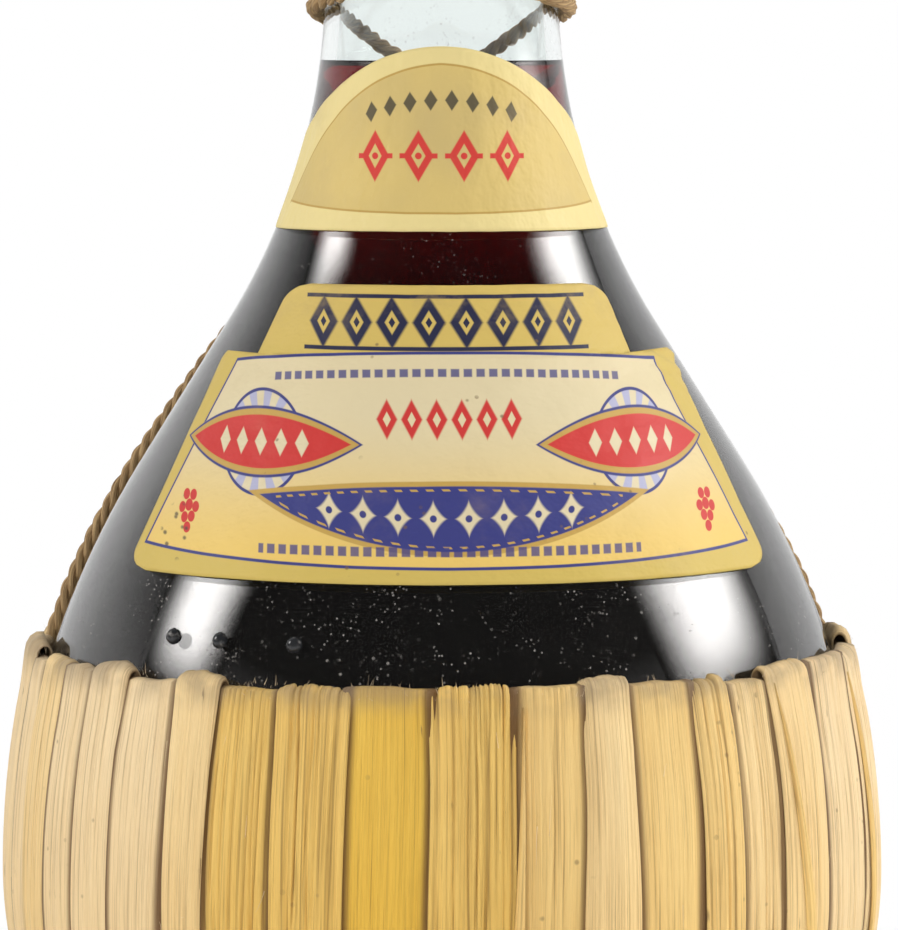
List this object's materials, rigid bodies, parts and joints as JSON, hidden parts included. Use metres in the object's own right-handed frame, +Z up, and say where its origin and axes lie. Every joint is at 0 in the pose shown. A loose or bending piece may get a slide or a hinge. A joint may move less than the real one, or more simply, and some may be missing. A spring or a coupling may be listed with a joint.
{
  "type": "straw-covered wine flask",
  "caption": "Round-bottomed glass wine flask with a tall neck, in a basket of upright straw strips on a straw foot ring, with paper labels, straw cords, cork and foil capsule.",
  "frame": {"origin": "on the table, under the middle of the foot ring", "axes": "+Z up along the flask's axis towards its mouth; the labels face -Y; +X to the right as seen from the front"},
  "size_m": [0.1472, 0.1472, 0.3307],
  "materials": {
    "glass": "gloss",
    "wine": "gloss",
    "cork": "matte",
    "capsule": "satin",
    "label_paper": "matte",
    "straw": "matte",
    "straw_lining": "matte",
    "hoop_cane": "matte",
    "foot_straw": "matte",
    "straw_cord": "matte"
  },
  "bodies": {
    "bottle": {"flask": "glass", "wine": "wine", "body_label": "label_paper", "neck_label": "label_paper", "rim_hoop": "hoop_cane", "straw_lining": "straw_lining", "foot_ring": "foot_straw", "foot_band": "foot_straw", "cord_left": "straw_cord", "cord_right": "straw_cord", "neck_wrap": "straw_cord", "straw_strip_01": "straw", "straw_strip_02": "straw", "straw_strip_03": "straw", "straw_strip_04": "straw", "straw_strip_05": "straw", "straw_strip_06": "straw", "straw_strip_07": "straw", "straw_strip_08": "straw", "straw_strip_09": "straw", "straw_strip_10": "straw", "straw_strip_11": "straw", "straw_strip_12": "straw", "straw_strip_13": "straw", "straw_strip_14": "straw", "straw_strip_15": "straw", "straw_strip_16": "straw", "straw_strip_17": "straw", "straw_strip_18": "straw", "straw_strip_19": "straw", "straw_strip_20": "straw", "straw_strip_21": "straw", "straw_strip_22": "straw", "straw_strip_23": "straw", "straw_strip_24": "straw", "straw_strip_25": "straw", "straw_strip_26": "straw", "straw_strip_27": "straw", "straw_strip_28": "straw", "straw_strip_29": "straw", "straw_strip_30": "straw", "straw_strip_31": "straw", "straw_strip_32": "straw", "straw_strip_33": "straw", "straw_strip_34": "straw", "straw_strip_35": "straw", "straw_strip_36": "straw", "straw_strip_37": "straw", "straw_strip_38": "straw"},
    "cork": {"cork": "cork"},
    "capsule": {"capsule_skirt": "capsule", "capsule_disc": "capsule"}
  },
  "joints": [
    {"name": "cork_pull", "type": "slide", "parent": "bottle", "child": "cork", "axis": [0, 0, 1], "range_m": [0, 0.042]},
    {"name": "capsule_lift", "type": "slide", "parent": "cork", "child": "capsule", "axis": [0, 0, 1], "range_m": [0, 0.07]}
  ]
}
